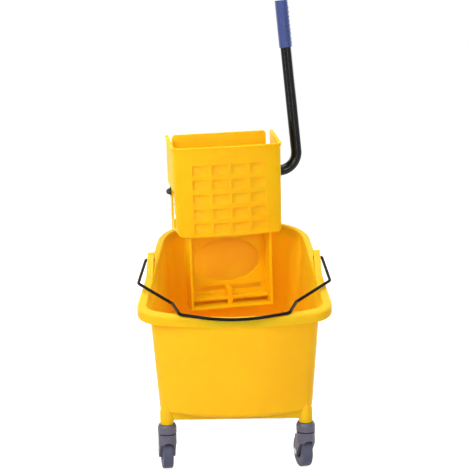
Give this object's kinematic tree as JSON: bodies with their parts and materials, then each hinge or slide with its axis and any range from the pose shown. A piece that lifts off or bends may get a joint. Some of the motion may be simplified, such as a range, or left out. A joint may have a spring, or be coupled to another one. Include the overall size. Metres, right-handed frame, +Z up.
{
  "type": "side press mop wringer bucket",
  "caption": "Rolling mop bucket with a sloped rim, wire bail and swivel casters, and a hook-on side-press wringer whose hand lever and cams swing a press plate against a slotted jaw.",
  "frame": {"origin": "on the floor under the middle of the whole unit's box", "axes": "+Z up, -Y towards the low front edge with the bail, +X towards the lever side"},
  "size_m": [0.3752, 0.4714, 0.8841],
  "materials": {
    "yellow_bucket": "semi-gloss moulded polypropylene",
    "yellow_wringer": "semi-gloss moulded polypropylene",
    "black_wire": "black coated wire",
    "black_tube": "gloss black coated tube",
    "blue_grip": "satin soft grip",
    "grey_plastic": "satin moulded nylon",
    "grey_tyre": "matt thermoplastic rubber",
    "black_plastic": "satin moulded nylon",
    "steel": "zinc plated"
  },
  "bodies": {
    "bucket": {"bucket": "yellow_bucket", "caster_stems": "steel", "caster_cups": "grey_plastic"},
    "bail": {"bail_wire": "black_wire"},
    "wringer": {"wringer_frame": "yellow_wringer", "front_jaw": "yellow_wringer", "jaw_screws": "steel", "axle_bushes": "black_plastic", "hinge_rod": "steel", "left_spring": "steel", "right_spring": "steel"},
    "lever": {"axle_rod": "steel", "lever_tube": "black_tube", "lever_grip": "blue_grip", "left_cam": "black_plastic", "right_cam": "black_plastic", "cap_nut": "black_plastic"},
    "press": {"press_plate": "yellow_wringer"},
    "front_left_caster": {"front_left_fork": "grey_plastic", "front_left_axle": "steel"},
    "front_left_wheel": {"front_left_hub": "grey_plastic", "front_left_tyre": "grey_tyre"},
    "front_right_caster": {"front_right_fork": "grey_plastic", "front_right_axle": "steel"},
    "front_right_wheel": {"front_right_hub": "grey_plastic", "front_right_tyre": "grey_tyre"},
    "rear_left_caster": {"rear_left_fork": "grey_plastic", "rear_left_axle": "steel"},
    "rear_left_wheel": {"rear_left_hub": "grey_plastic", "rear_left_tyre": "grey_tyre"},
    "rear_right_caster": {"rear_right_fork": "grey_plastic", "rear_right_axle": "steel"},
    "rear_right_wheel": {"rear_right_hub": "grey_plastic", "rear_right_tyre": "grey_tyre"}
  },
  "joints": [
    {"name": "bail_swing", "type": "hinge", "parent": "bucket", "child": "bail", "pos_m": [0, 0.01033, 0.37638], "axis": [-1, 0, 0], "range_deg": [0, 100]},
    {"name": "wringer_lift", "type": "slide", "parent": "bucket", "child": "wringer", "axis": [0, 0, 1], "range_m": [0, 0.25]},
    {"name": "lever_swing", "type": "hinge", "parent": "wringer", "child": "lever", "pos_m": [-0.02422, 0.17791, 0.49495], "axis": [0.978, 0.2079, 0.0175], "range_deg": [0, 75], "stiffness_Nm_per_rad": 4, "springref_deg": -20.05, "deforming": ["left_spring", "right_spring"]},
    {"name": "press_swing", "type": "hinge", "parent": "wringer", "child": "press", "pos_m": [-0.01941, 0.16053, 0.43216], "axis": [0.978, 0.2079, 0.0175], "range_deg": [0, 19]},
    {"name": "front_left_swivel", "type": "hinge", "parent": "bucket", "child": "front_left_caster", "pos_m": [-0.132, -0.16567, 0.07], "axis": [0, 0, 1], "continuous": true},
    {"name": "front_left_roll", "type": "hinge", "parent": "front_left_caster", "child": "front_left_wheel", "pos_m": [-0.1345, -0.14986, 0.031], "axis": [0.9877, 0.1564, 0], "continuous": true},
    {"name": "front_right_swivel", "type": "hinge", "parent": "bucket", "child": "front_right_caster", "pos_m": [0.132, -0.16567, 0.07], "axis": [0, 0, 1], "continuous": true},
    {"name": "front_right_roll", "type": "hinge", "parent": "front_right_caster", "child": "front_right_wheel", "pos_m": [0.12759, -0.15029, 0.031], "axis": [0.9613, 0.2756, 0], "continuous": true},
    {"name": "rear_left_swivel", "type": "hinge", "parent": "bucket", "child": "rear_left_caster", "pos_m": [-0.097, 0.13233, 0.07], "axis": [0, 0, 1], "continuous": true},
    {"name": "rear_left_roll", "type": "hinge", "parent": "rear_left_caster", "child": "rear_left_wheel", "pos_m": [-0.09367, 0.14798, 0.031], "axis": [0.9781, -0.2079, 0], "continuous": true},
    {"name": "rear_right_swivel", "type": "hinge", "parent": "bucket", "child": "rear_right_caster", "pos_m": [0.097, 0.13233, 0.07], "axis": [0, 0, 1], "continuous": true},
    {"name": "rear_right_roll", "type": "hinge", "parent": "rear_right_caster", "child": "rear_right_wheel", "pos_m": [0.09533, 0.14825, 0.031], "axis": [0.9945, 0.1045, 0], "continuous": true}
  ],
  "couplings": [
    {"joint": "press_swing", "follows": "lever_swing", "ratio": 0.25333}
  ]
}
